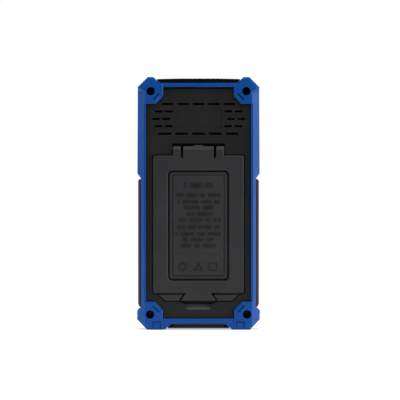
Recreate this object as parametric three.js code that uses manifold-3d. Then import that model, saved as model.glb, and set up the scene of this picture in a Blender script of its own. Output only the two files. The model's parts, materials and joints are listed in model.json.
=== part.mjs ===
// Handheld laser distance meter with electrical test inputs, as a bench-strippable assembly.
// Millimetres, +Z up (the optics look up), +Y towards the rear cover, -Y towards the display.
// The origin is the middle of the foot of the meter, on the plane that its corners stand on.

import * as THREE from 'three';
import { mergeVertices } from 'three/addons/utils/BufferGeometryUtils.js';
import Module from 'manifold-3d';

const wasm = await Module();
wasm.setup();

// ---------------------------------------------------------------- driving dimensions

const GAP = 0.3;                  // clearance between touching pieces
const FAR = 100;                  // reach of a tool that cuts right through

// Depths along Y, the same on the rear (+) and on the display side (-)
const CASE_FACE = 20.2;           // outer face of each case half
const CASE_WALL = 2.4;
const RAIL_FACE = 22.2;           // face of the bumper's rails and bars
const PAD_FACE = 23;              // face of the bumper's corner pads
const CAVITY_FACE = CASE_FACE - CASE_WALL;
const PARTING = 0.15;             // half the parting gap between the case halves

// Case outline
const CASE_HALF_WIDTH = 40;
const CASE_TOP = 172.4;
const CORNER_TOP = 174.9;
const CASE_BOTTOM = 3.5;
const FOOT_BOTTOM = 1;

// Bumper
const UPPER_HALF_WIDTH = 43.3;
const WAIST_HALF_WIDTH = 41;
const FOOT_HALF_WIDTH = 43.75;
const WAIST_LOW = 15.8;
const WAIST_HIGH = 107.7;
const RAIL_INNER = 37.5;
const SIDE_BEVEL_START = 38.9;    // where the rail's flat ends and its wide bevel begins
const SHOULDER = 172.9;           // where the sides end and the upper corners' diagonals begin
const BUMPER_TOP = 180;
const UPPER_DIAGONAL = 216.2 / Math.SQRT2;   // distance of an upper corner's edge from the origin
const LOWER_DIAGONAL = 36.6 / Math.SQRT2;
const DIAGONAL_BEVEL = 1.4;
const END_BEVEL = 1;
const CHANNEL = { inner: 26.7, outer: 33.1, high: 6.2, depth: 0.9 };   // below each foot screw
const GRIP_HALF_DEPTH = 17.5;

// Case screws, at [x, z] on the right-hand side
const SCREW_HEIGHTS = [169.9, 10.9];
const SCREW_OFFSETS = [34.1, 34.5];
const SCREW_RECESS_RADIUS = 3.02;
const SCREW_SEAT = 9;             // Y of the seat that the heads pull against

// Tilt stand
const STAND_HALF_WIDTH = 32.3;
const STAND_LOW = 25.9;
const STAND_SHOULDER = 124.1;
const STAND_TOP = 130.7;
const STAND_INNER_FACE = 19;
const STAND_OUTER_FACE = 22;
const STAND_WINDOW = { halfWidth: 21.8, low: 35, high: 113.4, radius: 3.1 };
const STAND_GAP = 0.6;
const STAND_FLOOR = 18.5;         // floor of the recess that the stand folds into
const HINGE_Y = 18.5;
const HINGE_Z = 128.4;
const HINGE_PIN_RADIUS = 1.1;
const EAR_HALF_WIDTH = 18.2;
const EAR_SLIT = 11.75;
const EAR_SLIT_HALF_WIDTH = 0.95;
const EAR_GAP_TOP = 132.8;        // top of the pocket that the ears turn in
const TAB_TOP_HALF_WIDTH = 9;
const TAB_HALF_WIDTH = 12.8;
const TAB_LOW = 20.6;

// Battery compartment and cover
const COVER_INNER_FACE = 16.2;
const COVER_HALF_WIDTH = 28.9;
const COVER_LOW = 20.4;
const COVER_HIGH = 121.3;
const CELL = { radius: 7.25, length: 50.5, low: 61.5, y: 8.7, pitch: 15.6 };
const TRAY = { halfWidth: 24, low: 56, high: 113.7, floor: 1.2, wall: 1.6 };
const COVER_SCREW = { x: 20, z: 117.6 };
const PLAQUE = { halfWidth: 17.9, low: 38.7, high: 109.9, radius: 1.2, face: 21.6 };
const PLAQUE_GROOVE = 0.55;       // width of the groove round the plaque

// Display side
const WINDOW = { halfWidth: 31, low: 108, high: 158 };
const KEY_ROW = 96;
const KEY_FACE = -21.3;
const KEY_BACK = -10.2;
const KEY_OFFSETS = [-29, -15.5, 15.5, 29];
const KEY_HALF_WIDTH = 5;
const KEY_HALF_HEIGHT = 3.5;
const KEY_CLEARANCE = 0.4;
const MEASURE_KEY_RADIUS = 7.2;
const KNOB = { z: 62, radius: 21, recess: 22, hub: 5.6 };
const JACK_OFFSETS = [-27, -9, 9, 27];
const JACK_Z = 24;
const WELL_RADIUS = 4.8;

// Inside
const BOARD_FRONT = -6;
const BOARD_BACK = -4.4;
const BOARD_SCREWS = [[-33, 46], [33, 46], [-33, 105.5], [33, 105.5]];
const OPTICS_Y = 8.8;
const RECEIVER = { x: 8.5, radius: 8.2 };
const EMITTER = { x: -9, radius: 4.5 };
const FUSE = { z: 36.6, y: -11.6, radius: 3.15, half: 15.9, x: 18 };

// ---------------------------------------------------------------- solids

// A closed solid from a three.js geometry.
function solid(geometry) {
  geometry.deleteAttribute('normal');
  geometry.deleteAttribute('uv');
  const merged = mergeVertices(geometry, 1e-4);
  const index = merged.index.array;
  const triangles = [];
  for (let i = 0; i < index.length; i += 3) {
    const [a, b, c] = [index[i], index[i + 1], index[i + 2]];
    if (a !== b && b !== c && c !== a) triangles.push(a, b, c);
  }
  return new wasm.Manifold(new wasm.Mesh({
    numProp: 3,
    vertProperties: merged.attributes.position.array,
    triVerts: Uint32Array.from(triangles),
  }));
}

function join(...pieces) {
  return pieces.reduce((whole, piece) => whole.add(piece));
}

function cut(whole, ...tools) {
  return tools.reduce((rest, tool) => rest.subtract(tool), whole);
}

function box(x, y, z) {
  const geometry = new THREE.BoxGeometry(x[1] - x[0], y[1] - y[0], z[1] - z[0]);
  geometry.translate((x[0] + x[1]) / 2, (y[0] + y[1]) / 2, (z[0] + z[1]) / 2);
  return solid(geometry);
}

// A round bar along X, Y or Z, from low to high on that axis, at the other two coordinates.
function bar(axis, at, low, high, radius, sides = 16) {
  const geometry = new THREE.CylinderGeometry(radius, radius, high - low, sides);
  const middle = (low + high) / 2;
  if (axis === 'x') {
    geometry.rotateZ(Math.PI / 2);
    geometry.translate(middle, at[0], at[1]);
  } else if (axis === 'y') {
    geometry.translate(at[0], middle, at[1]);
  } else {
    geometry.rotateX(Math.PI / 2);
    geometry.translate(at[0], at[1], middle);
  }
  return solid(geometry);
}

// A closed outline from corners [x, z, radius]; a corner with no radius stays sharp.
function outline(corners, steps = 3) {
  const origin = new THREE.Vector2();
  const points = [];
  corners.forEach(([x, z, radius = 0], i) => {
    const here = new THREE.Vector2(x, z);
    if (radius === 0) {
      points.push(here);
      return;
    }
    const before = new THREE.Vector2(...corners.at(i - 1).slice(0, 2)).sub(here).normalize();
    const after = new THREE.Vector2(...corners[(i + 1) % corners.length].slice(0, 2)).sub(here).normalize();
    const halfAngle = before.angleTo(after) / 2;
    const centre = before.clone().add(after).setLength(radius / Math.sin(halfAngle)).add(here);
    const reach = radius / Math.tan(halfAngle);
    const start = before.multiplyScalar(reach).add(here).sub(centre);
    const end = after.multiplyScalar(reach).add(here).sub(centre);
    const sweep = start.angleTo(end) * Math.sign(start.cross(end));
    for (let step = 0; step <= steps; step += 1) {
      points.push(start.clone().rotateAround(origin, sweep * step / steps).add(centre));
    }
  });
  return points;
}

// The whole of a left-right symmetric corner list, from its right-hand side, bottom to top.
function bothSides(rightSide) {
  const leftSide = rightSide.map(([x, ...rest]) => [-x, ...rest]).reverse();
  return [...rightSide, ...leftSide];
}

function roundedRectangle(halfWidth, low, high, radius, x = 0) {
  return outline([
    [x + halfWidth, low, radius], [x + halfWidth, high, radius],
    [x - halfWidth, high, radius], [x - halfWidth, low, radius],
  ]);
}

// An X-Z outline given thickness along Y. Its face at y[1], or at y[0] when it faces the display
// side, can have a chamfered edge.
function plate(points, y, { chamfer = 0, facing = 1, holes = [] } = {}) {
  const flip = (list) => list.map((point) => new THREE.Vector2(point.x, facing * point.y));
  const shape = new THREE.Shape(flip(points));
  holes.forEach((hole) => shape.holes.push(new THREE.Path(flip(hole))));
  const depth = y[1] - y[0];
  const geometry = new THREE.ExtrudeGeometry(shape, {
    depth: depth - chamfer,
    bevelEnabled: chamfer > 0,
    bevelThickness: chamfer,
    bevelSize: chamfer,
    bevelOffset: -chamfer,
    bevelSegments: 1,
  });
  geometry.rotateX(facing * Math.PI / 2);
  geometry.translate(0, facing > 0 ? y[1] - chamfer : y[0] + chamfer, 0);
  const body = solid(geometry);
  if (chamfer === 0) return body;
  const beyond = facing > 0 ? [y[0] - FAR, y[0]] : [y[1], y[1] + FAR];
  return cut(body, box([-FAR, FAR], beyond, [-FAR, 3 * FAR]));
}

// A Y-Z outline given thickness along X.
function rib(points, x) {
  const shape = new THREE.Shape(points);
  const geometry = new THREE.ExtrudeGeometry(shape, { depth: x[1] - x[0], bevelEnabled: false });
  geometry.rotateX(Math.PI / 2);
  geometry.rotateZ(Math.PI / 2);
  geometry.translate(x[0], 0, 0);
  return solid(geometry);
}

// An X-Y outline given height along Z.
function column(points, z) {
  const shape = new THREE.Shape(points);
  const geometry = new THREE.ExtrudeGeometry(shape, { depth: z[1] - z[0], bevelEnabled: false });
  geometry.translate(0, 0, z[0]);
  return solid(geometry);
}

// A piece turned about X, Y or Z, from a profile of [radius, place along that axis].
function turned(axis, at, profile, sides = 16) {
  const geometry = new THREE.LatheGeometry(profile.map(([r, along]) => new THREE.Vector2(r, along)), sides);
  if (axis === 'x') {
    geometry.rotateZ(-Math.PI / 2);
    geometry.translate(0, at[0], at[1]);
  } else if (axis === 'y') {
    geometry.translate(at[0], 0, at[1]);
  } else {
    geometry.rotateX(Math.PI / 2);
    geometry.translate(at[0], at[1], 0);
  }
  return solid(geometry);
}

const group = new THREE.Group();

const PALETTE = {
  blue: { color: 0x1850a0, roughness: 0.5, metalness: 0 },
  black: { color: 0x282828, roughness: 0.6, metalness: 0 },
  grip: { color: 0x1c1c1c, roughness: 0.85, metalness: 0 },
  grey: { color: 0x3c3c3e, roughness: 0.55, metalness: 0 },
  glossBlack: { color: 0x0a0a0c, roughness: 0.15, metalness: 0 },
  lens: { color: 0x602030, roughness: 0.05, metalness: 0 },
  board: { color: 0x0d1f16, roughness: 0.5, metalness: 0 },
  keys: { color: 0xb9bcc0, roughness: 0.6, metalness: 0 },
  red: { color: 0xb52020, roughness: 0.55, metalness: 0 },
  steel: { color: 0x9a9ca0, roughness: 0.35, metalness: 1 },
  blackSteel: { color: 0x2a2a2c, roughness: 0.5, metalness: 1 },
  brass: { color: 0xb8963f, roughness: 0.3, metalness: 1 },
  ceramic: { color: 0xd8d4c8, roughness: 0.4, metalness: 0 },
  display: { color: 0x8fa08c, roughness: 0.3, metalness: 0 },
  cell: { color: 0x2a5d46, roughness: 0.35, metalness: 0.3 },
};

const materials = Object.fromEntries(Object.entries(PALETTE).map(
  ([name, look]) => [name, new THREE.MeshStandardMaterial({ ...look, flatShading: true })],
));

// One sub-part: a named mesh of the solid, in the given finish.
function add(name, body, finish) {
  const { vertProperties, triVerts } = body.getMesh();
  const geometry = new THREE.BufferGeometry();
  geometry.setAttribute('position', new THREE.BufferAttribute(vertProperties, 3));
  geometry.setIndex(new THREE.BufferAttribute(triVerts, 1));
  geometry.computeVertexNormals();
  const mesh = new THREE.Mesh(geometry, materials[finish]);
  mesh.name = name;
  group.add(mesh);
}

// ---------------------------------------------------------------- shared outlines

// The case seen from behind, grown outwards by a margin.
function caseOutline(margin) {
  const side = CASE_HALF_WIDTH + margin;
  return outline(bothSides([
    [35.9 + margin / 2, CASE_BOTTOM - margin],
    [side, 7.6 - margin / 2],
    [side, CASE_TOP],
    [37.5 + margin / 2, CORNER_TOP + margin],
    [30 - margin / 2, CORNER_TOP + margin],
    [28.4 - margin, CASE_TOP + margin],
  ]));
}

// The foot that shows between the bumper's lower corners.
const footOutline = outline(bothSides([[21.9, FOOT_BOTTOM], [19.2, 3.2], [19.2, 8], [18, 8]]));

const bumperOutline = outline(bothSides([
  [18.9, 4.2], [24.2, 0], [36.6, 0], [FOOT_HALF_WIDTH, 7.2], [FOOT_HALF_WIDTH, 13.4],
  [WAIST_HALF_WIDTH, WAIST_LOW], [WAIST_HALF_WIDTH, WAIST_HIGH], [43.6, 111.4],
  [UPPER_HALF_WIDTH, SHOULDER], [36.2, BUMPER_TOP], [32.2, BUMPER_TOP], [27.5, 175.8],
]));

const bumperWindow = outline(bothSides([
  [25.3, 7.9], [25.3, 14.2], [30.8, 20], [RAIL_INNER, 20],
  [RAIL_INNER, 160.9], [30.5, 160.9], [25.1, 166.6], [25.1, 172.9],
]));

const upperPad = [
  [25.1, 175], [25.1, 166.6], [30.5, 160.9], [42, 160.9],
  [42, 173.9], [36.1, 179.8], [32.2, 179.8], [28.4, 175],
];

const lowerPad = [
  [25.3, 0.2], [36.5, 0.2], [42, 5.7], [42, 20], [30.8, 20], [25.3, 14.2],
];

// The stand's outline: hinge ears at the top, then the wide plate, then the finger tab.
function standOutline(margin) {
  const side = STAND_HALF_WIDTH + margin;
  return outline(bothSides([
    [TAB_HALF_WIDTH + margin, TAB_LOW - margin],
    [TAB_TOP_HALF_WIDTH + margin, STAND_LOW - margin],
    [side, STAND_LOW - margin, 1.5],
    [side, STAND_SHOULDER + margin, 1.5],
    [EAR_HALF_WIDTH + margin, STAND_SHOULDER + margin],
    [EAR_HALF_WIDTH + margin, STAND_TOP + margin],
  ]));
}

// One raised wing of the battery cover, below the stand, on the right-hand side.
function wingOutline(margin, side) {
  const corners = [
    [10.3 - margin, 25.3], [13.7 - margin, COVER_LOW - margin],
    [24.1 + margin / 2, COVER_LOW - margin], [COVER_HALF_WIDTH + margin, 25.3],
  ];
  return outline(corners.map(([x, z]) => [side * x, z]));
}

function coverOutline(margin) {
  return outline(bothSides([
    [24.1 + margin / 2, COVER_LOW - margin], [COVER_HALF_WIDTH + margin, 25.3],
    [COVER_HALF_WIDTH + margin, COVER_HIGH + margin, 1.5],
  ]));
}

// The raised plaque on the battery cover, where the wording is moulded.
function plaqueOutline(margin) {
  const { halfWidth, low, high, radius } = PLAQUE;
  return roundedRectangle(halfWidth + margin, low - margin, high + margin, radius + margin);
}

const caseScrewPlaces = [-1, 1].flatMap(
  (side) => SCREW_HEIGHTS.map((z, i) => [side * SCREW_OFFSETS[i], z]),
);

// ---------------------------------------------------------------- case halves

function caseShell(side) {
  const span = (inner, outer) => (side > 0 ? [inner, outer] : [-outer, -inner]);
  const shell = join(
    plate(caseOutline(0), span(PARTING, CASE_FACE), { chamfer: 0.6, facing: side }),
    plate(footOutline, span(PARTING, 18.4), { chamfer: 1.2, facing: side }),
  );
  return cut(shell, plate(caseOutline(-CASE_WALL), span(-1, CAVITY_FACE)));
}

// Slots of one vent row: centres along X, at height z.
function ventRow(z, centres, length) {
  const [halfHeight, radius] = [0.8, 0.6];
  return centres.map((x) => plate(
    outline([
      [x + length / 2, z - halfHeight, radius], [x + length / 2, z + halfHeight, radius],
      [x - length / 2, z + halfHeight, radius], [x - length / 2, z - halfHeight, radius],
    ], 2),
    [CAVITY_FACE - 1, CASE_FACE + 1],
  ));
}

function fingerScoop() {
  const [deep, ledge, above] = [14.5, 16.6, CASE_FACE + 0.6];
  const slope = outline([[deep, 26.5], [deep, 18.4], [ledge, 18.4], [above, 13.6], [above, 26.5]]);
  const mouth = outline(bothSides([[8.3, 13.5], [8.3, 14.3], [10, 18.5], [13.4, 20], [9.8, 26.4]]));
  return rib(slope, [-14, 14]).intersect(plate(mouth, [12, CASE_FACE + 1]));
}

function rearCase() {
  let body = caseShell(1);
  body = join(
    body,
    box([-35.4, 35.4], [13.6, 18.2], [16, 122]),
    box([-23, 23], [12.6, 18.2], [11.6, 28]),
    box([-23, 23], [13.6, 18.2], [120, 135]),
    box(
      [-TRAY.halfWidth - TRAY.wall, TRAY.halfWidth + TRAY.wall], [TRAY.floor - 1.4, 15],
      [TRAY.low - TRAY.wall, TRAY.high + TRAY.wall],
    ),
    ...[-1, 1].map((side) => bar('y', [side * COVER_SCREW.x, COVER_SCREW.z], 8, 14, 3.2)),
    ...caseScrewPlaces.map((place) => bar('y', place, PARTING, 18.5, 4.6)
      .intersect(plate(caseOutline(0), [0, CASE_FACE]))),
  );
  return cut(
    body,
    plate(standOutline(STAND_GAP), [STAND_FLOOR, CASE_FACE + 1]),
    box(
      [-EAR_HALF_WIDTH - STAND_GAP, EAR_HALF_WIDTH + STAND_GAP], [15.4, CASE_FACE + 1],
      [123.6, EAR_GAP_TOP],
    ),
    bar('x', [HINGE_Y, HINGE_Z], -EAR_HALF_WIDTH - 3.2, EAR_HALF_WIDTH + 3.2, HINGE_PIN_RADIUS + GAP),
    plate(coverOutline(0.4), [COVER_INNER_FACE - 0.4, STAND_FLOOR + 0.1]),
    ...[-1, 1].map((side) => plate(wingOutline(0.45, side), [STAND_FLOOR - 1, CASE_FACE + 1])),
    ...[-1, 1].map((side) => box([side * 20.5 - 2.9, side * 20.5 + 2.9], [15.8, 17.8], [18.5, 20.5])),
    box([-TRAY.halfWidth, TRAY.halfWidth], [TRAY.floor, STAND_FLOOR], [TRAY.low, TRAY.high]),
    ...[-1, 1].map((side) => bar('y', [side * COVER_SCREW.x, COVER_SCREW.z], 9.4, 16, 1.4)),
    ...caseScrewPlaces.flatMap((place) => [
      bar('y', place, SCREW_SEAT, FAR, SCREW_RECESS_RADIUS, 24),
      bar('y', place, -1, SCREW_SEAT + 1, 1.75),
    ]),
    fingerScoop(),
    plate(roundedRectangle(16.7, 143.3, 156.9, 1), [CASE_FACE - 0.3, CASE_FACE + 1]),
    ...ventRow(160.8, [-22, -11, 0, 11, 22], 8.4),
    ...ventRow(155.5, [-28.5, -21.2, 21.2, 28.5], 5.7),
    ...ventRow(150.2, [-30.4, -23, 23, 30.4], 5.6),
    ...ventRow(145, [-28.5, -21.2, 21.2, 28.5], 5.7),
    ...ventRow(139.6, [-24, -12, 0, 12, 24], 9.5),
    bar('z', [RECEIVER.x, OPTICS_Y], CASE_TOP - 4, CASE_TOP + 1, RECEIVER.radius + GAP),
    bar('z', [EMITTER.x, OPTICS_Y], CASE_TOP - 4, CASE_TOP + 1, EMITTER.radius + GAP),
  );
}

function frontCase() {
  let body = caseShell(-1);
  body = join(
    body,
    ...JACK_OFFSETS.map((x) => bar('y', [x, JACK_Z], -18.4, -9, WELL_RADIUS + 1.5)),
    ...BOARD_SCREWS.map((place) => bar('y', place, -18.4, BOARD_FRONT - GAP, 2.8, 16)),
    ...caseScrewPlaces.map((place) => bar('y', place, -18.4, -PARTING, 4.2)
      .intersect(plate(caseOutline(0), [-CASE_FACE, 0]))),
  );
  const knobAt = [0, KNOB.z];
  return cut(
    body,
    plate(roundedRectangle(WINDOW.halfWidth + 0.4, WINDOW.low - 0.4, WINDOW.high + 0.4, 2.4), [-FAR, -18.5]),
    plate(roundedRectangle(27.5, 112.5, 153.5, 1.5), [-FAR, -16]),
    bar('y', knobAt, -FAR, -19, KNOB.recess, 36),
    bar('y', knobAt, -FAR, -16, KNOB.hub + GAP, 24),
    bar('y', [0, KEY_ROW], -FAR, -16, MEASURE_KEY_RADIUS + KEY_CLEARANCE, 28),
    ...KEY_OFFSETS.map((x) => plate(keyOutline(x, KEY_CLEARANCE), [-FAR, -16])),
    ...JACK_OFFSETS.flatMap((x) => [
      bar('y', [x, JACK_Z], -FAR, -10.2, WELL_RADIUS, 24),
      bar('y', [x, JACK_Z], -11, -8, 3.3),
    ]),
    ...BOARD_SCREWS.map((place) => bar('y', place, -12.4, -5, 1.4, 16)),
    ...caseScrewPlaces.map((place) => bar('y', place, -13, 1, 1.75)),
  );
}

// ---------------------------------------------------------------- bumper and grips

// A tool that bevels at 45 degrees an edge whose outward normal is at this angle from X. It takes
// away what has (distance along the normal) + (depth along Y) above the limit.
function bevelTool(angle, limit, facing) {
  const [shallow, deep] = [26, 5];
  const section = [[limit - shallow, shallow], [limit - deep, deep], [limit - deep, shallow]];
  const shape = new THREE.Shape(section.map(([u, y]) => new THREE.Vector2(u, facing * y)));
  const geometry = new THREE.ExtrudeGeometry(shape, { depth: 6 * FAR, bevelEnabled: false });
  geometry.translate(0, 0, -3 * FAR);
  geometry.rotateY(-angle);
  return solid(geometry);
}

// A short prism along a corner's diagonal. Its section is in [distance towards the window, Y].
function diagonalTool(section, middle, angle, facing) {
  const length = 6.6;
  const shape = new THREE.Shape(section.map(([u, y]) => new THREE.Vector2(u, facing * y)));
  const geometry = new THREE.ExtrudeGeometry(shape, { depth: length, bevelEnabled: false });
  geometry.translate(0, 0, -length / 2);
  geometry.rotateY(-angle);
  geometry.translate(middle[0], 0, middle[1]);
  return solid(geometry);
}

// The sloped facet and the groove that run along the inner diagonal of each corner pad.
function padFacets(facing) {
  const [bottom, above] = [PAD_FACE - 1, PAD_FACE + 1];
  const facet = [[-1.9, PAD_FACE], [0.8, PAD_FACE - 2.4], [0.8, above], [-1.9, above]];
  const groove = [[-3.6, bottom], [-2.8, bottom], [-2.8, above], [-3.6, above]];
  const diagonals = [
    { middle: [27.8, 163.8], angle: 1.25 * Math.PI },
    { middle: [28.05, 17.1], angle: 0.75 * Math.PI },
  ];
  return diagonals.flatMap(({ middle: [x, z], angle }) => [facet, groove].flatMap((section) => [
    diagonalTool(section, [x, z], angle, facing),
    diagonalTool(section, [-x, z], Math.PI - angle, facing),
  ]));
}

function bumperFace(facing) {
  const span = (inner, outer) => (facing > 0 ? [inner, outer] : [-outer, -inner]);
  const flipped = (corners) => corners.map(([x, z]) => [-x, z]);
  const pads = [upperPad, lowerPad].flatMap((corners) => [corners, flipped(corners)].map(
    (pad) => plate(outline(pad), span(PAD_FACE - 1.6, PAD_FACE), { chamfer: 0.7, facing }),
  ));
  return join(...pads);
}

// All that lies below one corner's shoulder, whose underside slopes up and out to its tip.
function belowShoulder(side, facing) {
  const reach = 2 * FAR;
  const outward = 90 - side * (90 - facing * 45);
  return box([-reach, reach], [-reach, reach], [-reach, 0])
    .rotate([0, -45, outward])
    .translate([side * UPPER_HALF_WIDTH, facing * RAIL_FACE, SHOULDER - GAP]);
}

function bumperFrame() {
  const windowTool = plate(bumperWindow, [-FAR, FAR]);
  const body = join(
    cut(plate(bumperOutline, [-RAIL_FACE, RAIL_FACE]), windowTool),
    bumperFace(1),
    bumperFace(-1),
  );
  const reach = CASE_FACE + GAP;
  const edges = [
    { angle: Math.PI / 4, limit: UPPER_DIAGONAL - DIAGONAL_BEVEL + PAD_FACE },
    { angle: 0.75 * Math.PI, limit: UPPER_DIAGONAL - DIAGONAL_BEVEL + PAD_FACE },
    { angle: -Math.PI / 4, limit: LOWER_DIAGONAL - DIAGONAL_BEVEL + PAD_FACE },
    { angle: -0.75 * Math.PI, limit: LOWER_DIAGONAL - DIAGONAL_BEVEL + PAD_FACE },
    { angle: Math.PI / 2, limit: BUMPER_TOP - END_BEVEL + PAD_FACE },
    { angle: -Math.PI / 2, limit: PAD_FACE - END_BEVEL },
  ];
  return cut(
    body,
    plate(caseOutline(GAP), [-reach, reach]),
    box([-27.5, 27.5], [-19, 19], [CASE_TOP - 1, 176.5]),
    ...[-1, 1].map((side) => box(
      side > 0 ? [38, 50] : [-50, -38], [-GRIP_HALF_DEPTH - GAP, GRIP_HALF_DEPTH + GAP],
      [WAIST_LOW, WAIST_HIGH],
    )),
    ...[1, -1].flatMap((facing) => edges.map(({ angle, limit }) => bevelTool(angle, limit, facing))),
    ...[1, -1].flatMap((facing) => [0, Math.PI].map(
      (angle) => bevelTool(angle, SIDE_BEVEL_START + RAIL_FACE, facing)
        .intersect(belowShoulder(Math.cos(angle), facing)),
    )),
    ...padFacets(1),
    ...padFacets(-1),
    ...[-1, 1].flatMap((side) => [-1, 1].map((facing) => box(
      side > 0 ? [CHANNEL.inner, CHANNEL.outer] : [-CHANNEL.outer, -CHANNEL.inner],
      facing > 0 ? [PAD_FACE - CHANNEL.depth, FAR] : [-FAR, CHANNEL.depth - PAD_FACE],
      [-1, CHANNEL.high],
    ))),
    ...caseScrewPlaces.map((place) => bar('y', place, CASE_FACE - 1, FAR, SCREW_RECESS_RADIUS, 24)),
  );
}

function sideGrip(side) {
  const inner = CASE_HALF_WIDTH + GAP;
  const [outer, half] = [43.1, GRIP_HALF_DEPTH];
  const section = [
    [inner, -half], [outer - 1.6, -half], [outer, 3 - half], [outer, half - 3],
    [outer - 1.6, half], [inner, half],
  ];
  const low = WAIST_LOW + GAP;
  const high = WAIST_HIGH - GAP;
  const front = outline([
    [inner - 1, low], [41.9, low], [outer, low + 2.2], [outer, high - 1.2], [42.2, high], [inner - 1, high],
  ].map(([x, z]) => [side * x, z]));
  const across = side > 0 ? [outer - 0.6, outer + 1] : [-outer - 1, 0.6 - outer];
  const grooves = [];
  for (let z = 24; z <= 100; z += 4) {
    grooves.push(box(across, [5 - half, half - 5], [z - 0.6, z + 0.6]));
  }
  const body = column(section.map(([x, y]) => new THREE.Vector2(side * x, y)), [0, 120])
    .intersect(plate(front, [-FAR, FAR]));
  return cut(body, ...grooves);
}

// ---------------------------------------------------------------- battery cover and tilt stand

function batteryCover() {
  const base = cut(
    plate(coverOutline(0), [COVER_INNER_FACE, STAND_FLOOR]),
    box([-13.2, 13.2], [COVER_INNER_FACE - 1, STAND_FLOOR + 1], [COVER_LOW - 1, 26.6]),
  );
  const { halfWidth, low, high, radius } = STAND_WINDOW;
  const play = 0.85;
  const panel = roundedRectangle(halfWidth - play, low + play, high - play, radius - play);
  const body = join(
    base,
    plate(panel, [STAND_FLOOR - 1, 21.1], { chamfer: 0.7 }),
    plate(plaqueOutline(0), [STAND_FLOOR + 1, PLAQUE.face], { chamfer: 0.3 }),
    ...[-1, 1].map((side) => plate(wingOutline(-0.1, side), [STAND_FLOOR - 1, 21.2], { chamfer: 0.7 })),
    ...[-1, 1].map((side) => box([side * 20.5 - 2.5, side * 20.5 + 2.5], [16.5, 17.4], [18.9, 22])),
  );
  const groove = cut(
    plate(plaqueOutline(PLAQUE_GROOVE), [PLAQUE.face - 1, FAR]),
    plate(plaqueOutline(0), [0, 2 * FAR]),
  );
  return cut(
    body,
    groove,
    box([-16, 16], [PLAQUE.face - 0.3, FAR], [53.6, 54.2]),
    ...[-1, 1].flatMap((side) => [
      bar('y', [side * COVER_SCREW.x, COVER_SCREW.z], 17, FAR, 2.8),
      bar('y', [side * COVER_SCREW.x, COVER_SCREW.z], 10, FAR, 1.4),
    ]),
  );
}

function tiltStand() {
  const { halfWidth, low, high, radius } = STAND_WINDOW;
  const body = join(
    plate(standOutline(0), [STAND_INNER_FACE, STAND_OUTER_FACE], {
      chamfer: 0.7,
      holes: [roundedRectangle(halfWidth, low, high, radius)],
    }),
    box([-3.2, 3.2], [19.3, 20], [STAND_TOP - 0.5, STAND_TOP + 0.9]),
    ...[-1, 1].flatMap((side) => {
      const knuckle = [side * (EAR_SLIT + 1), side * EAR_HALF_WIDTH].sort((a, b) => a - b);
      const pin = [side * (EAR_HALF_WIDTH - 1), side * (EAR_HALF_WIDTH + 2.7)].sort((a, b) => a - b);
      return [
        bar('x', [HINGE_Y, HINGE_Z], ...knuckle, 1.9),
        bar('x', [HINGE_Y, HINGE_Z], ...pin, HINGE_PIN_RADIUS),
      ];
    }),
  );
  const topSlope = rib(outline([[22.5, 127.75], [22.5, 132], [19.23, 132]]), [-20, 20]);
  return cut(
    body,
    topSlope,
    ...[-1, 1].map((side) => box(
      [side * EAR_SLIT - EAR_SLIT_HALF_WIDTH, side * EAR_SLIT + EAR_SLIT_HALF_WIDTH],
      [15, FAR], [122.3, 140],
    )),
    ...[-1, 1].map((side) => box([side * 15.1 - 1, side * 15.1 + 1], [21.5, FAR], [127, 127.6])),
  );
}

// ---------------------------------------------------------------- optics

function opticsBezel() {
  const faces = outline(bothSides([
    [27.1, CASE_TOP + GAP], [27.1, 176.1], [29.7, 178.45], [28.9, 178.7], [14, 179.05],
  ]));
  const body = plate(faces, [-18.6, 18.6]);
  const seat = 175.2;
  const bevels = [1, -1].map((facing) => bevelTool(Math.PI / 2, 178.7 - 0.8 + 18.6, facing));
  return cut(
    body,
    ...bevels,
    bar('z', [EMITTER.x, OPTICS_Y], 170, 182, 3),
    bar('z', [EMITTER.x, OPTICS_Y], seat, 182, 4.3),
    bar('z', [RECEIVER.x, OPTICS_Y], 170, 182, 7.4),
    bar('z', [RECEIVER.x, OPTICS_Y], seat, 182, 8.6, 32),
  );
}

function opticsPieces() {
  const emitter = [EMITTER.x, OPTICS_Y];
  const receiver = [RECEIVER.x, OPTICS_Y];
  add('optics_bezel', opticsBezel(), 'glossBlack');
  add('emitter_window', bar('z', emitter, 175.5, 177, 4), 'lens');
  add('receiver_window', bar('z', receiver, 175.5, 177, 8.3, 32), 'lens');
  add('laser_module', turned('z', emitter, [
    [0, 150], [3.2, 150], [3.2, 153], [EMITTER.radius, 153], [EMITTER.radius, 171.8], [3.4, 171.8],
    [3.4, 169.5], [0, 169.5],
  ]), 'blackSteel');
  add('receiver_barrel', turned('z', receiver, [
    [1.5, 141], [RECEIVER.radius, 141], [RECEIVER.radius, 171.8], [7, 171.8], [7, 142.5], [1.5, 142.5],
    [1.5, 141],
  ]), 'black');
  add('receiver_lens', turned('z', receiver, [
    [0, 165], [4, 165.5], [6.7, 166.8], [6.7, 168], [4, 169.2], [0, 169.8],
  ]), 'lens');
  add('receiver_sensor', turned('z', receiver, [
    [0, 136.8], [3.6, 136.8], [3.6, 137.4], [2.9, 137.4], [2.9, 140.5], [0, 140.5],
  ]), 'steel');
  const chips = [[[-8, 0], [142, 149]], [[-16, -11], [138, 143]], [[-19, -13], [158, 164]]];
  add('distance_board', join(
    box([-22, 22], [-3.6, -2.4], [134.5, 168]),
    ...chips.map(([x, z]) => box(x, [-2.6, -1.5], z)),
  ), 'board');
}

// ---------------------------------------------------------------- display side

function keyOutline(x, margin) {
  return roundedRectangle(
    KEY_HALF_WIDTH + margin, KEY_ROW - KEY_HALF_HEIGHT - margin, KEY_ROW + KEY_HALF_HEIGHT + margin,
    1.6 + margin, x,
  );
}

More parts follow.
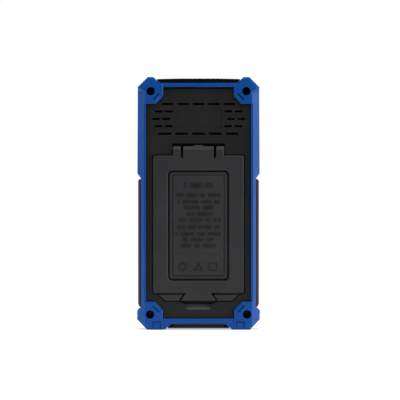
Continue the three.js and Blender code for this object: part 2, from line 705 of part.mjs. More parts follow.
function functionKey(x) {
  const flange = 1.2;
  return join(
    plate(keyOutline(x, 0), [KEY_FACE, -15], { chamfer: 0.5, facing: -1 }),
    plate(keyOutline(x, flange), [-17.2, -16.2]),
    bar('y', [x, KEY_ROW], -16, KEY_BACK, 2, 16),
  );
}

function measureKey() {
  const r = MEASURE_KEY_RADIUS;
  return turned('y', [0, KEY_ROW], [
    [0, KEY_FACE], [r - 1.4, KEY_FACE - 0.5], [r - 0.6, KEY_FACE], [r, KEY_FACE + 0.6], [r, -17.2],
    [r + 1.4, -17.2], [r + 1.4, -16.2], [2.4, -16.2], [2.4, KEY_BACK], [0, KEY_BACK],
  ], 28);
}

function rotaryKnob() {
  const { z, radius, hub } = KNOB;
  const grip = plate(outline([
    [4.6, z - 18, 2], [4.6, z + 15], [0, z + 19.5], [-4.6, z + 15], [-4.6, z - 18, 2],
  ]), [-22.9, -20.5], { chamfer: 0.7, facing: -1 });
  const body = join(turned('y', [0, z], [
    [0, -21], [radius - 1, -21], [radius, -20.2], [radius, -19.4], [hub, -19.4], [hub, -12.5], [0, -12.5],
  ], 36), grip);
  return cut(body, box([-0.7, 0.7], [-FAR, -22.4], [z + 9, z + 17]));
}

function selectorRotor() {
  const wipers = [0, 1, 2].map((i) => {
    const [track, angle] = [12, i * 2 * Math.PI / 3];
    const place = [track * Math.cos(angle), KNOB.z + track * Math.sin(angle)];
    return bar('y', place, -10.4, BOARD_FRONT - GAP, 0.9, 12);
  });
  return join(turned('y', [0, KNOB.z], [
    [0, -12.2], [16, -12.2], [16, -10], [3, -10], [3, -8], [0, -8],
  ], 24), ...wipers);
}

function fuseClip(x) {
  const { z, y, radius } = FUSE;
  return cut(
    box([x - 2.4, x + 2.4], [y - 1.4, BOARD_FRONT - GAP], [z - 4.2, z + 4.2]),
    bar('x', [y, z], x - 5, x + 5, radius + GAP),
    box([x - 5, x + 5], [y - 5, y], [z - 3, z + 3]),
  );
}

function displaySide() {
  const { halfWidth, low, high } = WINDOW;
  add('display_window', plate(roundedRectangle(halfWidth, low, high, 2), [-20, -18.8]), 'glossBlack');
  add('lcd_glass', box([-29, 29], [-17.4, -15.7], [110, 156]), 'display');
  add('lcd_backlight', box([-29.5, 29.5], [-15.3, -12.8], [109.5, 156.5]), 'ceramic');
  add('measure_key', measureKey(), 'red');
  KEY_OFFSETS.forEach((x, i) => add(`function_key_${i + 1}`, functionKey(x), 'keys'));
  add('keypad_mat', join(
    box([-34.6, 34.6], [-8.6, BOARD_FRONT - GAP], [89.5, 102.2]),
    ...[0, ...KEY_OFFSETS].map((x) => bar('y', [x, KEY_ROW], -9.2, -8, 2.8, 16)),
  ), 'grip');
  add('rotary_knob', rotaryKnob(), 'grip');
  add('selector_rotor', selectorRotor(), 'black');
  JACK_OFFSETS.forEach((x, i) => add(`input_jack_${i + 1}`, turned('y', [x, JACK_Z], [
    [0, -7.2], [2.05, -7.2], [2.05, -10.1], [3, -10.1], [3, BOARD_FRONT - GAP], [0, BOARD_FRONT - GAP],
  ]), 'brass'));
}

// ---------------------------------------------------------------- electronics and power

function mainBoard() {
  const chips = [[[-14, -2], [20, 32]], [[6, 20], [22, 30]], [[-30, -20], [118, 128]], [[24, 32], [60, 76]]];
  return cut(
    join(
      box([-36.2, 36.2], [BOARD_FRONT, BOARD_BACK], [17, 163]),
      ...chips.map(([x, z]) => box(x, [BOARD_BACK - 0.2, BOARD_BACK + 1.2], z)),
    ),
    ...BOARD_SCREWS.map((place) => bar('y', place, -8, 0, 1.45, 16)),
  );
}

// A screw along Y with a cross recess in its head: shank from the tip to the seat, then the head.
function screw(place, { tip, seat, top, shank, head }) {
  const body = turned('y', place, [
    [0, tip], [shank * 0.6, tip], [shank, tip + 2], [shank, seat], [head, seat], [head, top - 0.5],
    [head - 0.5, top], [0, top],
  ], 12);
  const [x, z] = place;
  const [long, short] = [head * 0.6, head * 0.14];
  return cut(
    body,
    box([x - long, x + long], [top - 0.8, top + 1], [z - short, z + short]),
    box([x - short, x + short], [top - 0.8, top + 1], [z - long, z + long]),
  );
}

function cell(x) {
  const { radius, length, low, y } = CELL;
  const high = low + length;
  return turned('z', [x, y], [
    [0, low], [6.2, low], [radius - 0.15, low + 0.7], [radius - 0.15, high - 2.3], [6.5, high - 1.6],
    [2.7, high - 1.6], [2.7, high], [0, high],
  ]);
}

// The cone-shaped coil that presses on a cell's flat end.
class ConeCoil extends THREE.Curve {
  constructor(x, y, low, high) {
    super();
    Object.assign(this, { x, y, low, high });
  }

  getPoint(t, target = new THREE.Vector3()) {
    const turns = 3.5;
    const radius = THREE.MathUtils.lerp(4.6, 2.6, t);
    const angle = 2 * Math.PI * turns * t;
    return target.set(
      this.x + radius * Math.cos(angle), this.y + radius * Math.sin(angle),
      THREE.MathUtils.lerp(this.low, this.high, t),
    );
  }
}

function cellSpring(x) {
  const wire = 0.35;
  const coil = new ConeCoil(x, CELL.y, TRAY.low + GAP + wire, CELL.low - GAP - wire);
  const section = [];
  for (let i = 0; i < 5; i += 1) {
    const angle = 2 * Math.PI * i / 5;
    section.push(new THREE.Vector2(wire * Math.cos(angle), wire * Math.sin(angle)));
  }
  return solid(new THREE.ExtrudeGeometry(new THREE.Shape(section), {
    steps: 36, bevelEnabled: false, extrudePath: coil,
  }));
}

function buzzer() {
  return turned('y', [-26, 152], [
    [0, 3.5], [6, 3.5], [6, 9.6], [1.2, 9.6], [1.2, 8.6], [0, 8.6],
  ]);
}

function electronics() {
  add('main_board', mainBoard(), 'board');
  add('buzzer', buzzer(), 'glossBlack');
  [-1, 1].forEach((side, i) => {
    const x = side * FUSE.x;
    const ends = FUSE.half;
    add(`fuse_${i + 1}`, turned('x', [FUSE.y, FUSE.z], [
      [0, x - ends], [FUSE.radius, x - ends], [FUSE.radius, x - 9.9], [2.85, x - 9.9],
      [2.85, x + 9.9], [FUSE.radius, x + 9.9], [FUSE.radius, x + ends], [0, x + ends],
    ]), 'ceramic');
    [-1, 1].forEach((end, k) => add(`fuse_clip_${2 * i + k + 1}`, fuseClip(x + end * 12.6), 'brass'));
  });
  [-CELL.pitch, 0, CELL.pitch].forEach((x, i) => {
    add(`battery_${i + 1}`, cell(x), 'cell');
    add(`battery_spring_${i + 1}`, cellSpring(x), 'steel');
    add(`battery_plate_${i + 1}`, box([x - 5, x + 5], [CELL.y - 5, CELL.y + 5], [112.4, 113]), 'steel');
  });
}

function fasteners() {
  caseScrewPlaces.forEach((place, i) => add(`case_screw_${i + 1}`, screw(place, {
    tip: -10.5, seat: SCREW_SEAT + GAP, top: SCREW_SEAT + 2.7, shank: 1.45, head: 2.7,
  }), 'blackSteel'));
  BOARD_SCREWS.forEach((place, i) => add(`board_screw_${i + 1}`, screw(place, {
    tip: -11.5, seat: BOARD_BACK + GAP, top: -2.8, shank: 1.1, head: 2.4,
  }), 'steel'));
  [-1, 1].forEach((side, i) => add(`cover_screw_${i + 1}`, screw([side * COVER_SCREW.x, COVER_SCREW.z], {
    tip: 10, seat: 17.3, top: 18.4, shank: 1.05, head: 2.4,
  }), 'blackSteel'));
}

// ---------------------------------------------------------------- assembly

add('rear_case', rearCase(), 'black');
add('front_case', frontCase(), 'black');
add('bumper_frame', bumperFrame(), 'blue');
add('side_grip_left', sideGrip(-1), 'grip');
add('side_grip_right', sideGrip(1), 'grip');
add('battery_cover', batteryCover(), 'grey');
add('tilt_stand', tiltStand(), 'grey');
opticsPieces();
displaySide();
electronics();
fasteners();

export default group;
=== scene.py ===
import json
import math

import bmesh
import bpy
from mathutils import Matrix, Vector

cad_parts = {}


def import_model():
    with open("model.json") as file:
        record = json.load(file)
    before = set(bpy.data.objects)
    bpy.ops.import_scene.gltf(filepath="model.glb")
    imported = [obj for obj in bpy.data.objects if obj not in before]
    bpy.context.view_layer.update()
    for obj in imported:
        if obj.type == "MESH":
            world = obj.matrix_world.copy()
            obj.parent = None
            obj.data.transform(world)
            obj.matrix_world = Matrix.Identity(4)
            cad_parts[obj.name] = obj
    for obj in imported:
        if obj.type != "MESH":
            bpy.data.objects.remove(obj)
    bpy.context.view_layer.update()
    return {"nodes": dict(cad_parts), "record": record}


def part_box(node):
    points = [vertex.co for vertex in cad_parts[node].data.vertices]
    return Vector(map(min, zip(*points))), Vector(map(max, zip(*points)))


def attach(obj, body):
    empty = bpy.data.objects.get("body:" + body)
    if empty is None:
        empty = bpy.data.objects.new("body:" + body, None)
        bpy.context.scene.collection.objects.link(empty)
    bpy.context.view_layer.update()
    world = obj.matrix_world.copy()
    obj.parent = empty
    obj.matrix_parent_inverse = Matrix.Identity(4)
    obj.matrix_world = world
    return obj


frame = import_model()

MM = 0.001


# ---------------------------------------------------------------- materials

class Look:
    """A Principled material that is built up node by node, in object coordinates (metres)."""

    def __init__(self, name, colour, roughness, metallic=0.0, specular=0.5):
        self.material = bpy.data.materials.new(name)
        self.material.use_nodes = True
        self.tree = self.material.node_tree
        self.shader = self.tree.nodes["Principled BSDF"]
        self.shader.inputs["Base Color"].default_value = (*colour, 1)
        self.shader.inputs["Roughness"].default_value = roughness
        self.shader.inputs["Metallic"].default_value = metallic
        self.shader.inputs["Specular IOR Level"].default_value = specular
        self.place = self.node("ShaderNodeTexCoord").outputs["Object"]
        self.rounded = None

    def node(self, kind, **settings):
        made = self.tree.nodes.new(kind)
        for key, value in settings.items():
            setattr(made, key, value)
        return made

    def link(self, source, target):
        self.tree.links.new(source, target)

    def noise(self, scale, detail=2.0, roughness=0.5, stretch=None):
        made = self.node("ShaderNodeTexNoise")
        made.inputs["Scale"].default_value = scale
        made.inputs["Detail"].default_value = detail
        made.inputs["Roughness"].default_value = roughness
        source = self.place
        if stretch:
            mapping = self.node("ShaderNodeMapping")
            mapping.inputs["Scale"].default_value = stretch
            self.link(self.place, mapping.inputs["Vector"])
            source = mapping.outputs["Vector"]
        self.link(source, made.inputs["Vector"])
        return made.outputs["Fac"]

    def ramp(self, value, low, high, to_low=0.0, to_high=1.0):
        made = self.node("ShaderNodeMapRange")
        made.inputs["From Min"].default_value = low
        made.inputs["From Max"].default_value = high
        made.inputs["To Min"].default_value = to_low
        made.inputs["To Max"].default_value = to_high
        self.link(value, made.inputs["Value"])
        return made.outputs["Result"]

    def mix(self, factor, first, second):
        made = self.node("ShaderNodeMix", data_type="RGBA")
        self.link(factor, made.inputs["Factor"])
        for value, socket in ((first, made.inputs[6]), (second, made.inputs[7])):
            if isinstance(value, tuple):
                socket.default_value = (*value, 1)
            else:
                self.link(value, socket)
        return made.outputs[2]

    def product(self, first, second):
        made = self.node("ShaderNodeMath", operation="MULTIPLY")
        self.link(first, made.inputs[0])
        self.link(second, made.inputs[1])
        return made.outputs[0]

    def within(self, *spans):
        """1 inside the box of these (axis, middle, half-width) spans, and 0 outside."""
        parts = self.node("ShaderNodeSeparateXYZ")
        self.link(self.place, parts.inputs[0])
        inside = None
        for axis, middle, half in spans:
            test = self.node("ShaderNodeMath", operation="COMPARE")
            test.inputs[1].default_value = middle
            test.inputs[2].default_value = half
            self.link(parts.outputs[axis], test.inputs[0])
            inside = self.product(inside, test.outputs[0]) if inside else test.outputs[0]
        return inside

    def repaint(self, factor, colour):
        """Lays a colour over the present base colour, where the factor is 1."""
        socket = self.shader.inputs["Base Color"]
        self.link(self.mix(factor, socket.links[0].from_socket, colour), socket)

    def bump(self, height, strength, distance):
        made = self.node("ShaderNodeBump")
        made.inputs["Strength"].default_value = strength
        made.inputs["Distance"].default_value = distance
        self.link(height, made.inputs["Height"])
        if self.rounded:
            self.link(self.rounded.outputs["Normal"], made.inputs["Normal"])
        self.link(made.outputs["Normal"], self.shader.inputs["Normal"])

    def edges(self, radius):
        """1 on edges and 0 on flats, from how a rounded normal leaves the true one."""
        self.rounded = self.node("ShaderNodeBevel", samples=6)
        self.rounded.inputs["Radius"].default_value = radius
        true = self.node("ShaderNodeNewGeometry")
        dot = self.node("ShaderNodeVectorMath", operation="DOT_PRODUCT")
        self.link(self.rounded.outputs["Normal"], dot.inputs[0])
        self.link(true.outputs["Normal"], dot.inputs[1])
        return self.ramp(dot.outputs["Value"], 0.995, 0.86)

    def openness(self, distance):
        """0 down in grooves and narrow gaps, and 1 on open surfaces, from ambient occlusion; it sets where
        shade is painted.
        """
        near = self.node("ShaderNodeAmbientOcclusion", samples=8)
        near.inputs["Distance"].default_value = distance
        return self.ramp(near.outputs["AO"], 0.4, 0.95)


def moulded(name, colour, roughness, grain=0.25, depth=0.02, worn=None, tone=0.12, specular=0.5):
    """Moulded plastic or rubber: spark-eroded grain, faint flow tone, edges rubbed by handling, and painted
    shade down in grooves and gaps.
    """
    look = Look(name, colour, roughness, specular=specular)
    fine = look.noise(1 / (grain * MM), detail=3, roughness=0.6)
    flow = look.noise(38, detail=3)
    handled = look.noise(110, detail=4, roughness=0.65)
    darker = tuple(c * (1 - tone) for c in colour)
    lighter = tuple(c * (1 + tone) for c in colour)
    base = look.mix(look.ramp(flow, 0.35, 0.65), darker, lighter)
    speck = look.ramp(fine, 0.62, 0.8, 0.0, 0.35)
    base = look.mix(speck, base, tuple(min(1, c * 1.5 + 0.004) for c in colour))
    if worn:
        rubbed = look.product(look.edges(0.35 * MM), look.ramp(handled, 0.4, 0.62, 0.15, 0.75))
        base = look.mix(rubbed, base, worn)
    # Painted shade: the colour darkens to a quarter down in grooves and narrow gaps, where shade falls
    base = look.mix(look.openness(1.5 * MM), tuple(c * 0.25 for c in colour), base)
    look.link(base, look.shader.inputs["Base Color"])
    low, high = roughness - 0.06, roughness + 0.06
    look.link(look.ramp(handled, 0.3, 0.7, low, high), look.shader.inputs["Roughness"])
    look.bump(fine, 0.35, depth * MM)
    return look


def metal(name, colour, roughness):
    """Plated or bare metal with fine drawn lines and slight tarnish."""
    look = Look(name, colour, roughness, metallic=1.0)
    lines = look.noise(2500, detail=2, stretch=(1, 1, 6))
    tarnish = look.noise(260, detail=4)
    dull = tuple(c * 0.7 for c in colour)
    look.link(look.mix(look.ramp(tarnish, 0.45, 0.75), colour, dull), look.shader.inputs["Base Color"])
    look.link(look.ramp(lines, 0.2, 0.8, roughness - 0.1, roughness + 0.12), look.shader.inputs["Roughness"])
    look.bump(lines, 0.12, 0.01 * MM)
    return look


def polished(name, colour, roughness):
    """Polished hard plastic with hairline scratches."""
    look = Look(name, colour, roughness)
    hairs = look.noise(900, detail=2, stretch=(1, 1, 0.06))
    smears = look.noise(70, detail=3)
    look.link(look.ramp(smears, 0.35, 0.7, roughness, roughness + 0.1), look.shader.inputs["Roughness"])
    darker = tuple(c * 0.8 for c in colour)
    look.link(look.mix(look.ramp(smears, 0.3, 0.7), colour, darker), look.shader.inputs["Base Color"])
    look.bump(hairs, 0.06, 0.005 * MM)
    return look


def glass(name, colour, roughness):
    """A tinted window, with faint smears in its polish."""
    look = Look(name, colour, roughness)
    look.shader.inputs["Transmission Weight"].default_value = 0.92
    look.shader.inputs["IOR"].default_value = 1.49
    smears = look.noise(60, detail=3)
    look.link(look.ramp(smears, 0.4, 0.75, roughness, roughness + 0.05), look.shader.inputs["Roughness"])
    return look


def circuit_board(name):
    """Near-black solder mask over faint tracks."""
    look = Look(name, (0.004, 0.014, 0.008), 0.4)
    tracks = look.node("ShaderNodeTexBrick", offset=0.5)
    tracks.inputs["Scale"].default_value = 260
    tracks.inputs["Mortar Size"].default_value = 0.06
    tracks.inputs["Color1"].default_value = (0.003, 0.011, 0.006, 1)
    tracks.inputs["Color2"].default_value = (0.004, 0.014, 0.008, 1)
    tracks.inputs["Mortar"].default_value = (0.008, 0.028, 0.015, 1)
    look.link(look.place, tracks.inputs["Vector"])
    look.link(tracks.outputs["Color"], look.shader.inputs["Base Color"])
    look.bump(tracks.outputs["Fac"], 0.3, 0.03 * MM)
    return look


BLUE = (0.003, 0.066, 0.31)
BLACK = (0.0130, 0.0128, 0.0125)
GRIP_BLACK = (0.009, 0.009, 0.009)
GREY = (0.0255, 0.0252, 0.0275)
CASE_WORN = (0.035, 0.035, 0.035)
# Painted shade: the moulded wording is coloured darker than the grey cover
RELIEF_SHADE_GREY = (0.009, 0.009, 0.010)
# Painted light: the paler grey of the finger scoop's lit slope
SCOOP_PAINTED_LIGHT_GREY = (0.082, 0.080, 0.080)
GLOSS_BLACK = (0.004, 0.004, 0.005)
SCREEN_GREEN = (0.25, 0.31, 0.24)

LOOKS = {
    "blue": moulded(
        "bumper_blue", BLUE, 0.4, grain=0.3, depth=0.006, worn=(0.02, 0.12, 0.42), tone=0.06, specular=0.18,
    ),
    "black": moulded(
        "case_black", BLACK, 0.5, grain=0.22, depth=0.012, worn=CASE_WORN, specular=0.2,
    ),
    "grip": moulded(
        "grip_rubber", GRIP_BLACK, 0.7, grain=0.35, depth=0.03, worn=(0.025, 0.025, 0.025), specular=0.25,
    ),
    "grey": moulded(
        "stand_grey", GREY, 0.46, grain=0.22, depth=0.01, worn=(0.085, 0.085, 0.09), specular=0.3,
    ),
    "gloss_black": polished("gloss_black", GLOSS_BLACK, 0.08),
    "lens": glass("tinted_window", (0.45, 0.05, 0.08), 0.02),
    "brass": metal("bare_brass", (0.78, 0.56, 0.22), 0.28),
    "steel": metal("plated_steel", (0.56, 0.57, 0.58), 0.32),
    "black_steel": metal("black_oxide", (0.035, 0.035, 0.037), 0.42),
    "board": circuit_board("board_black"),
    "display": polished("liquid_crystal", (0.22, 0.29, 0.22), 0.25),
    "ceramic": moulded("off_white", (0.68, 0.65, 0.58), 0.45, tone=0.04),
    "red": moulded("key_red", (0.42, 0.012, 0.012), 0.5, worn=(0.55, 0.06, 0.05), tone=0.05),
    "keys": moulded("key_grey", (0.40, 0.42, 0.45), 0.5, worn=(0.55, 0.56, 0.58), tone=0.05),
    "cell": polished("cell_sleeve", (0.02, 0.10, 0.05), 0.25),
}


# ---------------------------------------------------------------- the carried-over CAD nodes

EDGE_ANGLE = math.radians(25)     # a fold sharper than this is an edge
WELD_DISTANCE = 2e-6              # metres


def soften(thing, width):
    """Shades a faceted solid smooth between its edges, and rounds the edges of the plainer ones."""
    weld = thing.modifiers.new("weld", "WELD")
    weld.merge_threshold = WELD_DISTANCE
    if width:
        bevel = thing.modifiers.new("edges", "BEVEL")
        bevel.limit_method = "ANGLE"
        bevel.angle_limit = EDGE_ANGLE
        bevel.width = width * MM
        bevel.segments = 2
        bevel.use_clamp_overlap = False
        bevel.miter_outer = "MITER_ARC"
        bevel.harden_normals = True
    else:
        split = thing.modifiers.new("edges", "EDGE_SPLIT")
        split.split_angle = EDGE_ANGLE
    thing.data.shade_smooth()


# Width of each node's rounded edges in millimetres; 0 keeps the edges sharp
EDGE_WIDTHS = {
    "rear_case": 0, "front_case": 0, "bumper_frame": 0, "tilt_stand": 0, "battery_cover": 0,
    "optics_bezel": 0, "emitter_window": 0, "receiver_window": 0, "receiver_lens": 0,
    "side_grip_left": 0.3, "side_grip_right": 0.3, "rotary_knob": 0.25, "measure_key": 0.2,
}
PLAIN_EDGE = 0.1

# The rear cover's finger scoop, painted paler as painted light where its sloping face would catch the light
SCOOP_LIT_AREA = (("X", 0, 0.0112), ("Y", 0.01835, 0.0017), ("Z", 0.0164, 0.0030))
scoop_lit_case = moulded(
    "case_black_scooped", BLACK, 0.5, grain=0.22, depth=0.012, worn=CASE_WORN, specular=0.2,
)
scoop_lit_case.repaint(scoop_lit_case.within(*SCOOP_LIT_AREA), SCOOP_PAINTED_LIGHT_GREY)

# The display window: a clear area over the liquid crystal, inside a black printed border
SCREEN_AREA = (("X", 0, 0.0275), ("Z", 0.133, 0.021))
screen = polished("display_screen", GLOSS_BLACK, 0.1)
screen.repaint(screen.within(*SCREEN_AREA), SCREEN_GREEN)

# The moulded wording, coloured darker than the cover as painted shade on the raised marks
relief = moulded(
    "relief_painted_shade", RELIEF_SHADE_GREY, 0.5, grain=0.22, depth=0.01, worn=(0.05, 0.05, 0.052), specular=0.3,
)

NODE_LOOKS = {"rear_case": scoop_lit_case, "display_window": screen}

slots = {row["node"]: row["material_slot"] for row in frame["record"]["subparts"]}
for node_name, node in frame["nodes"].items():
    node.data.materials.clear()
    node.data.materials.append(NODE_LOOKS.get(node_name, LOOKS[slots[node_name]]).material)
    soften(node, EDGE_WIDTHS.get(node_name, PLAIN_EDGE))


# ---------------------------------------------------------------- raised and printed marks

def middle(node_name):
    """The middle of a CAD node's box, in millimetres."""
    low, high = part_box(node_name)
    return (Vector(low) + Vector(high)) / 2 / MM


def circle(x, z, radius, count=36):
    turns = [2 * math.pi * i / count for i in range(count)]
    return [(x + radius * math.cos(t), z + radius * math.sin(t)) for t in turns]


CORNER_STEPS = 4


def rectangle(x, z, width, height, radius=0.0):
    """A rectangle round its middle, with rounded corners if it has a radius."""
    half_width, half_height = width / 2 - radius, height / 2 - radius
    corners = ((1, 1), (-1, 1), (-1, -1), (1, -1))
    if radius == 0:
        return [(x + i * half_width, z + j * half_height) for i, j in corners]
    points = []
    for quarter, (i, j) in enumerate(corners):
        for step in range(CORNER_STEPS + 1):
            turn = (quarter + step / CORNER_STEPS) * math.pi / 2
            points.append((
                x + i * half_width + radius * math.cos(turn),
                z + j * half_height + radius * math.sin(turn),
            ))
    return points


def triangle(x, z, size, point=1):
    """An equal-sided triangle round its middle, pointing up (1) or down (-1)."""
    turns = [math.pi / 2 + 2 * math.pi * i / 3 for i in range(3)]
    return [(x + size * math.cos(t), z + point * size * math.sin(t)) for t in turns]


def spoke(x, z, inner, outer, width, turn):
    """A bar that points away from a middle, at an angle from straight up."""
    along = Vector((math.sin(turn), math.cos(turn)))
    across = Vector((along.y, -along.x)) * width / 2
    start, end = Vector((x, z)) + along * inner, Vector((x, z)) + along * outer
    return [tuple(p) for p in (start - across, start + across, end + across, end - across)]


class Marks:
    """Thin marks in millimetres on a face that looks along Y, gathered into one mesh."""

    def __init__(self, face, facing, height, sunk=0.1):
        self.mesh = bmesh.new()
        self.levels = (face - facing * sunk, face + facing * height)

    def loop(self, points, y):
        return [self.mesh.verts.new((x * MM, y * MM, z * MM)) for x, z in points]

    def wall(self, first, second):
        for i, corner in enumerate(first):
            after = (i + 1) % len(first)
            self.mesh.faces.new((corner, first[after], second[after], second[i]))

    def fill(self, points):
        low, high = (self.loop(points, y) for y in self.levels)
        self.mesh.faces.new(low)
        self.mesh.faces.new(high)
        self.wall(low, high)

    def ring(self, outer, inner):
        outer_low, outer_high = (self.loop(outer, y) for y in self.levels)
        inner_low, inner_high = (self.loop(inner, y) for y in self.levels)
        self.wall(outer_low, outer_high)
        self.wall(inner_low, inner_high)
        self.wall(outer_low, inner_low)
        self.wall(outer_high, inner_high)

    def piece(self, name, body, slot, edge=0.0, look=None):
        """Makes the marks one piece that rides on a body, with its upper edges rounded."""
        bmesh.ops.recalc_face_normals(self.mesh, faces=self.mesh.faces)
        data = bpy.data.meshes.new(name)
        self.mesh.to_mesh(data)
        self.mesh.free()
        data.materials.append((look or LOOKS[slot]).material)
        made = bpy.data.objects.new(name, data)
        bpy.context.collection.objects.link(made)
        if edge:
            bevel = made.modifiers.new("edges", "BEVEL")
            bevel.limit_method = "ANGLE"
            bevel.width = edge * MM
            bevel.segments = 2
        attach(made, body)


# Lines of moulded wording on the battery cover, as plain blocks: (height, width, block height)
WORDING = (
    (103.0, 21.6, 3.6), (95.8, 32.8, 2.6), (91.1, 32.1, 2.6), (87.0, 22.1, 2.6), (82.5, 21.6, 2.6),
    (78.2, 32.8, 2.6), (73.0, 31.7, 2.6), (68.2, 32.8, 2.6), (64.2, 23.2, 2.6), (59.9, 24.7, 2.6),
)
WORD_BLOCKS = (3, 5, 2, 4, 6, 3, 2, 5)
BLOCK_PITCH = 1.9
BLOCK_WIDTH = 1.35
SYMBOL_HEIGHT = 44.8


def blocks(count, row):
    """Numbers of the blocks in one row, with a gap after each word."""
    word, left = row, WORD_BLOCKS[row % len(WORD_BLOCKS)]
    for i in range(count):
        if left:
            left -= 1
            yield i
        else:
            word += 1
            left = WORD_BLOCKS[word % len(WORD_BLOCKS)]


def wording():
    marks = Marks(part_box("battery_cover")[1][1] / MM, 1, 0.35)
    for row, (z, width, height) in enumerate(WORDING):
        count = int(width / BLOCK_PITCH)
        for i in blocks(count, row):
            x = (i - (count - 1) / 2) * BLOCK_PITCH
            short = (i * 3 + row) % 4 == 0
            marks.fill(rectangle(x, z, BLOCK_WIDTH, height * (0.7 if short else 1), 0.3))
    z = SYMBOL_HEIGHT
    ring_x, square_x, triangle_drop = 11.3, -10.3, 0.8
    marks.ring(circle(ring_x, z, 2.9), circle(ring_x, z, 2.2))
    marks.ring(triangle(0, z - triangle_drop, 3.9), triangle(0, z - triangle_drop, 2.5))
    marks.ring(rectangle(square_x, z, 6, 5.6, 0.6), rectangle(square_x, z, 4.7, 4.3, 0.4))
    marks.piece("cover_wording", "housing", "grey", edge=0.1, look=relief)


DIAL_TICKS = 13
DIAL_STEP = 22.5                  # degrees between ticks
DIAL_START = -135
TICK = {"inner": 23.1, "long": 25.6, "short": 24.7, "width": 0.7}
JACK_RING = (6, 5.1)              # outer and inner radius
PRINT = 0.05                      # thickness of printed marks
WINDOW_FRAME = ((67, 55, 4), (63.4, 51.4, 2.6))   # outside and inside: width, height, radius
POINTER = {"up": 13, "width": 1.1, "length": 7.5, "radius": 0.4}


def jack_ring(marks, number):
    jack = middle(f"input_jack_{number}")
    marks.ring(*(circle(jack.x, jack.z, radius) for radius in JACK_RING))


def front_printing():
    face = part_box("front_case")[0][1] / MM
    knob = middle("rotary_knob")
    dial = Marks(face, -1, PRINT)
    for i in range(DIAL_TICKS):
        turn = math.radians(DIAL_START + DIAL_STEP * i)
        outer = TICK["long"] if i % 2 == 0 else TICK["short"]
        dial.fill(spoke(knob.x, knob.z, TICK["inner"], outer, TICK["width"], turn))
    jack_ring(dial, 1)
    dial.piece("dial_printing", "housing", "keys")
    rings = Marks(face, -1, PRINT)
    for i in (2, 3, 4):
        jack_ring(rings, i)
    rings.piece("jack_rings", "housing", "red")
    window = middle("display_window")
    frame_marks = Marks(face, -1, 0.35)
    frame_marks.ring(*(rectangle(window.x, window.z, *size) for size in WINDOW_FRAME))
    frame_marks.piece("window_frame", "housing", "black", edge=0.15)
    pointer = Marks(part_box("rotary_knob")[0][1] / MM, -1, 0.04, sunk=0.4)
    pointer.fill(rectangle(
        knob.x, knob.z + POINTER["up"], POINTER["width"], POINTER["length"], POINTER["radius"],
    ))
    pointer.piece("knob_pointer", "selector", "keys")


def key_symbols():
    places = [middle(f"function_key_{i}") for i in (1, 2, 3, 4)]
    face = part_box("function_key_1")[0][1] / MM
    symbols = [Marks(face, -1, PRINT) for _ in places]
    symbols[0].fill(triangle(places[0].x, places[0].z - 0.2, 1.8))
    symbols[1].fill(triangle(places[1].x, places[1].z + 0.2, 1.8, point=-1))
    symbols[2].ring(circle(places[2].x, places[2].z, 1.8), circle(places[2].x, places[2].z, 1.2))
    symbols[3].fill(rectangle(places[3].x, places[3].z, 3.8, 0.8, 0.2))
    for i, marks in enumerate(symbols):
        marks.piece(f"key_symbol_{i + 1}", f"function_key_{i + 1}", "gloss_black")
    key = middle("measure_key")
    target = Marks(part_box("measure_key")[0][1] / MM + 0.5, -1, 0.35)
    target.ring(circle(key.x, key.z, 3.2), circle(key.x, key.z, 2.5))
    target.fill(circle(key.x, key.z, 0.9, 20))
    target.piece("measure_symbol", "measure_key", "keys", edge=0.08)


# The segments that each figure lights: t, m and b are its bars from top to bottom, h and j its upper
# uprights, and k and l its lower ones
SEGMENTS = {"0": "tbhjkl", "1": "jl", "2": "tmbjk", "5": "tmbhl", "7": "tjl"}


def digit(marks, figure, x, z, height):
    """One seven-segment figure, seen from the display side, so that left is towards -X."""
    width, bar = height * 0.5, height * 0.1
    upright = (height - bar) / 2 - bar * 0.5
    places = {
        "t": (0, height / 2), "m": (0, 0), "b": (0, -height / 2),
        "h": (-width / 2, height / 4), "j": (width / 2, height / 4),
        "k": (-width / 2, -height / 4), "l": (width / 2, -height / 4),
    }
    for name in SEGMENTS[figure]:
        dx, dz = places[name]
        size = (width - bar * 1.2, bar) if name in "tmb" else (bar, upright)
        marks.fill(rectangle(x + dx, z + dz, *size, bar * 0.25))


MAIN_FIGURES = {"left": -18, "up": -6, "pitch": 12, "height": 17}
SMALL_FIGURES = {"left": 8, "up": 13, "pitch": 6, "height": 7}
POINT = (-12, -14.6, 1.8, 1.8, 0.3)
CHARGE = {"middle": -20, "left": -22.4, "up": 13, "pitch": 2.4}


def display_figures():
    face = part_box("display_window")[0][1] / MM
    window = middle("display_window")
    marks = Marks(face, -1, 0.03)

    def spot(right, up, *size):
        return rectangle(window.x + right, window.z + up, *size)

    for figures, row in (("2057", MAIN_FIGURES), ("105", SMALL_FIGURES)):
        for i, figure in enumerate(figures):
            x = window.x + row["left"] + row["pitch"] * i
            digit(marks, figure, x, window.z + row["up"], row["height"])
    marks.fill(spot(*POINT))
    marks.ring(
        spot(CHARGE["middle"], CHARGE["up"], 9, 4.6, 0.5),
        spot(CHARGE["middle"], CHARGE["up"], 8, 3.6, 0.3),
    )
    for i in range(3):
        marks.fill(spot(CHARGE["left"] + CHARGE["pitch"] * i, CHARGE["up"], 1.7, 2.4, 0.1))
    marks.piece("display_figures", "housing", "gloss_black")


wording()
front_printing()
key_symbols()
display_figures()


# ---------------------------------------------------------------- stage, light and camera

def area_light(name, place, target, size, power):
    data = bpy.data.lights.new(name, "AREA")
    data.shape = "RECTANGLE"
    data.size, data.size_y = size
    data.energy = power
    lamp = bpy.data.objects.new(name, data)
    lamp.location = place
    lamp.rotation_euler = (Vector(target) - Vector(place)).to_track_quat("-Z", "Y").to_euler()
    bpy.context.collection.objects.link(lamp)


FLOOR_RADIUS = 0.4
FLOOR_GLOW = 0.45
SKY_LIGHT = (0.05, 0.05, 0.05, 1)


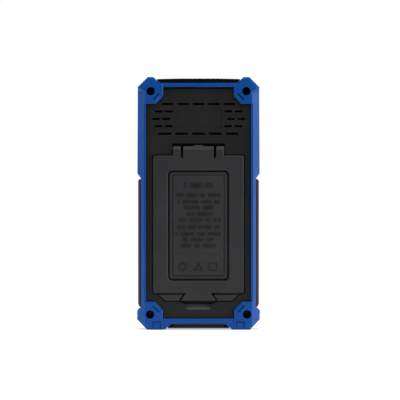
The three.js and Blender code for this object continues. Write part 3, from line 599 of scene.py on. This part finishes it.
def stage():
    bpy.ops.mesh.primitive_circle_add(
        vertices=64, radius=FLOOR_RADIUS, fill_type="NGON", location=(0, 0, 0),
    )
    floor = bpy.context.object
    floor.name = "floor"
    paint = Look("floor_paint", (0.86, 0.86, 0.86), 0.9)
    paint.shader.inputs["Emission Color"].default_value = (1, 1, 1, 1)
    paint.shader.inputs["Emission Strength"].default_value = FLOOR_GLOW
    floor.data.materials.append(paint.material)


def world():
    """White to the eye, and a dim even grey for what it lights."""
    made = bpy.data.worlds.new("studio")
    made.use_nodes = True
    tree = made.node_tree
    background = tree.nodes["Background"]
    path = tree.nodes.new("ShaderNodeLightPath")
    mix = tree.nodes.new("ShaderNodeMix")
    mix.data_type = "RGBA"
    mix.inputs[6].default_value = SKY_LIGHT
    mix.inputs[7].default_value = (1, 1, 1, 1)
    tree.links.new(path.outputs["Is Camera Ray"], mix.inputs["Factor"])
    tree.links.new(mix.outputs[2], background.inputs["Color"])
    bpy.context.scene.world = made


CAMERA_DISTANCE = 3.0             # from the rear face of the corner pads
PAD_FACE = 0.023
FRAME_WIDTH = 0.2848              # of the picture, at the pads' face
AIM_X = -0.00107
AIM_HEIGHT = 0.0924


def camera():
    data = bpy.data.cameras.new("camera")
    data.sensor_width = 36
    data.lens = data.sensor_width * CAMERA_DISTANCE / FRAME_WIDTH
    data.clip_end = 50
    made = bpy.data.objects.new("camera", data)
    made.location = (AIM_X, CAMERA_DISTANCE + PAD_FACE, AIM_HEIGHT)
    made.rotation_euler = (math.pi / 2, 0, math.pi)
    bpy.context.collection.objects.link(made)
    bpy.context.scene.camera = made


stage()
world()
camera()
HEART = (0, 0, 0.09)
WIDE = (0.6, 0.8)
BROAD = (1.0, 0.8)
for side in (1, -1):
    area_light("key", (-0.1 * side, 0.36 * side, 0.72), (0, 0, 0.12), (0.45, 0.3), 2.3)
    area_light("bright_fill", (-1.2 * side, 0.6 * side, 0.5), HEART, WIDE, 6.5)
    area_light("dim_fill", (1.2 * side, 0.6 * side, 0.5), HEART, WIDE, 5)
area_light("bright_side", (-1.3, 0, 0.25), HEART, BROAD, 7)
area_light("dim_side", (1.3, 0, 0.25), HEART, BROAD, 1)
bpy.context.scene.view_settings.view_transform = "Standard"
